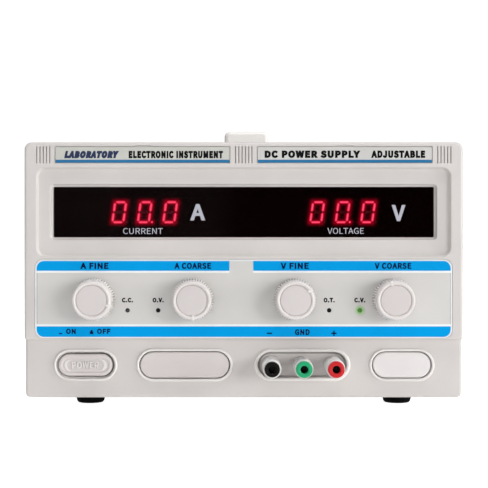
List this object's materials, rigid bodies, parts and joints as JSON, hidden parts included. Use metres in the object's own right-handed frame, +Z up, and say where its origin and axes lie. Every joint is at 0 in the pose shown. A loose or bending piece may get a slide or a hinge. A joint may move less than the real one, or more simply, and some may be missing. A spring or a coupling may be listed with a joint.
{
  "type": "bench power supply",
  "caption": "Boxed laboratory DC power supply: numeric meters above a row of control knobs, a latching power button, binding posts and a strap handle on top.",
  "frame": {"origin": "centre of the bounding box on the surface the feet stand on", "axes": "+Z up, +X to the right seen from the front, the front panel faces -Y"},
  "size_m": [0.268, 0.365, 0.1755],
  "materials": {
    "case_plastic": "fine textured moulded plastic, warm light grey",
    "bright_plastic": "smooth satin moulded plastic, near white",
    "cover_paint": "fine textured powder coat, warm light grey",
    "steel": "bright zinc plated",
    "window": "polished dark red smoked acrylic",
    "plate_print": "printed satin plate",
    "overlay_film": "fine grained printed polycarbonate film",
    "brass": "turned",
    "post_black": "moulded, satin",
    "post_green": "moulded, satin",
    "post_red": "moulded, satin",
    "lamp_off": "tinted, unlit",
    "lamp_green": "tinted, lit",
    "digit_face": "black display face",
    "board": "green solder mask",
    "black_plastic": "moulded",
    "aluminium": "extruded",
    "ferrite": "ferrite core with a taped winding",
    "capacitor": "sleeved can",
    "copper": "enamelled copper wire",
    "rubber": "matt"
  },
  "bodies": {
    "cabinet": {"front_bezel": "case_plastic", "blank_cover_wide": "case_plastic", "blank_cover_narrow": "bright_plastic", "handle_cap_front": "bright_plastic", "handle_cap_rear": "bright_plastic", "top_cover": "cover_paint", "rear_panel": "cover_paint", "chassis_tray": "steel", "fan_guard": "steel", "potentiometer_current_fine": "steel", "potentiometer_current_coarse": "steel", "potentiometer_voltage_fine": "steel", "potentiometer_voltage_coarse": "steel", "display_window": "window", "name_plate_left": "plate_print", "name_plate_right": "plate_print", "control_overlay": "overlay_film", "post_stud_negative": "brass", "post_stud_ground": "brass", "post_stud_positive": "brass", "lamp_current_limit": "lamp_off", "lamp_over_voltage": "lamp_off", "lamp_over_heat": "lamp_off", "lamp_voltage_hold": "lamp_green", "current_display": "digit_face", "voltage_display": "digit_face", "front_board": "board", "main_board": "board", "power_switch": "black_plastic", "fan_frame": "black_plastic", "mains_inlet": "black_plastic", "fuse_holder": "black_plastic", "heatsink": "aluminium", "transformer": "ferrite", "capacitor": "capacitor", "output_choke": "copper", "foot_front_left": "rubber", "foot_front_right": "rubber", "foot_rear_left": "rubber", "foot_rear_right": "rubber"},
    "power_button": {"power_button": "case_plastic"},
    "fan_rotor": {"fan_rotor": "black_plastic"},
    "fuse_cap": {"fuse_cap": "black_plastic"},
    "handle_grip": {"handle_grip": "bright_plastic"},
    "handle_link_front": {"handle_link_front": "bright_plastic"},
    "handle_link_rear": {"handle_link_rear": "bright_plastic"},
    "knob_current_fine": {"knob_current_fine": "case_plastic", "shaft_current_fine": "steel"},
    "knob_current_coarse": {"knob_current_coarse": "case_plastic", "shaft_current_coarse": "steel"},
    "knob_voltage_fine": {"knob_voltage_fine": "case_plastic", "shaft_voltage_fine": "steel"},
    "knob_voltage_coarse": {"knob_voltage_coarse": "case_plastic", "shaft_voltage_coarse": "steel"},
    "post_washer_negative": {"post_washer_negative": "steel"},
    "post_cap_negative": {"post_cap_negative": "post_black"},
    "post_washer_ground": {"post_washer_ground": "steel"},
    "post_cap_ground": {"post_cap_ground": "post_green"},
    "post_washer_positive": {"post_washer_positive": "steel"},
    "post_cap_positive": {"post_cap_positive": "post_red"}
  },
  "joints": [
    {"name": "power_button_press", "type": "slide", "parent": "cabinet", "child": "power_button", "axis": [0, 1, 0], "range_m": [-0.003, 0.0008]},
    {"name": "knob_current_fine_turn", "type": "hinge", "parent": "cabinet", "child": "knob_current_fine", "pos_m": [-0.0911, -0.1675, 0.068], "axis": [0, 1, 0], "range_deg": [-228, 72]},
    {"name": "knob_current_coarse_turn", "type": "hinge", "parent": "cabinet", "child": "knob_current_coarse", "pos_m": [-0.0311, -0.1675, 0.068], "axis": [0, 1, 0], "range_deg": [-296, 4]},
    {"name": "knob_voltage_fine_turn", "type": "hinge", "parent": "cabinet", "child": "knob_voltage_fine", "pos_m": [0.0311, -0.1675, 0.068], "axis": [0, 1, 0], "range_deg": [-176, 124]},
    {"name": "knob_voltage_coarse_turn", "type": "hinge", "parent": "cabinet", "child": "knob_voltage_coarse", "pos_m": [0.0911, -0.1675, 0.068], "axis": [0, 1, 0], "range_deg": [-106, 194]},
    {"name": "post_travel_negative", "type": "slide", "parent": "cabinet", "child": "post_washer_negative", "axis": [0, -1, 0], "range_m": [0, 0.00374]},
    {"name": "post_spin_negative", "type": "hinge", "parent": "post_washer_negative", "child": "post_cap_negative", "pos_m": [0.01695, -0.1695, 0.0272], "axis": [0, -1, 0], "range_deg": [0, 1800]},
    {"name": "post_travel_ground", "type": "slide", "parent": "cabinet", "child": "post_washer_ground", "axis": [0, -1, 0], "range_m": [0, 0.00374]},
    {"name": "post_spin_ground", "type": "hinge", "parent": "post_washer_ground", "child": "post_cap_ground", "pos_m": [0.036, -0.1695, 0.0272], "axis": [0, -1, 0], "range_deg": [0, 1800]},
    {"name": "post_travel_positive", "type": "slide", "parent": "cabinet", "child": "post_washer_positive", "axis": [0, -1, 0], "range_m": [0, 0.00374]},
    {"name": "post_spin_positive", "type": "hinge", "parent": "post_washer_positive", "child": "post_cap_positive", "pos_m": [0.05505, -0.1695, 0.0272], "axis": [0, -1, 0], "range_deg": [0, 1800]},
    {"name": "fan_spin", "type": "hinge", "parent": "cabinet", "child": "fan_rotor", "pos_m": [-0.06, 0.1565, 0.088], "axis": [0, 1, 0], "continuous": true},
    {"name": "fuse_cap_pull", "type": "slide", "parent": "cabinet", "child": "fuse_cap", "axis": [0, 1, 0], "range_m": [0, 0.014]},
    {"name": "handle_lift", "type": "slide", "parent": "cabinet", "child": "handle_grip", "axis": [0, 0, 1], "range_m": [0, 0.024], "stiffness_N_per_m": 150},
    {"name": "handle_front_tilt", "type": "hinge", "parent": "handle_grip", "child": "handle_link_front", "pos_m": [0.0015, -0.0435, 0.1659], "axis": [1, 0, 0], "range_deg": [0, 29]},
    {"name": "handle_rear_tilt", "type": "hinge", "parent": "handle_grip", "child": "handle_link_rear", "pos_m": [0.0015, 0.0645, 0.1659], "axis": [1, 0, 0], "range_deg": [-29, 0]}
  ],
  "couplings": [
    {"joint": "post_spin_negative", "follows": "post_travel_negative", "rad_per_m": 8377.6},
    {"joint": "post_spin_ground", "follows": "post_travel_ground", "rad_per_m": 8377.6},
    {"joint": "post_spin_positive", "follows": "post_travel_positive", "rad_per_m": 8377.6},
    {"joint": "handle_front_tilt", "follows": "handle_lift", "rad_per_m": 20.86},
    {"joint": "handle_rear_tilt", "follows": "handle_lift", "rad_per_m": -20.86}
  ]
}
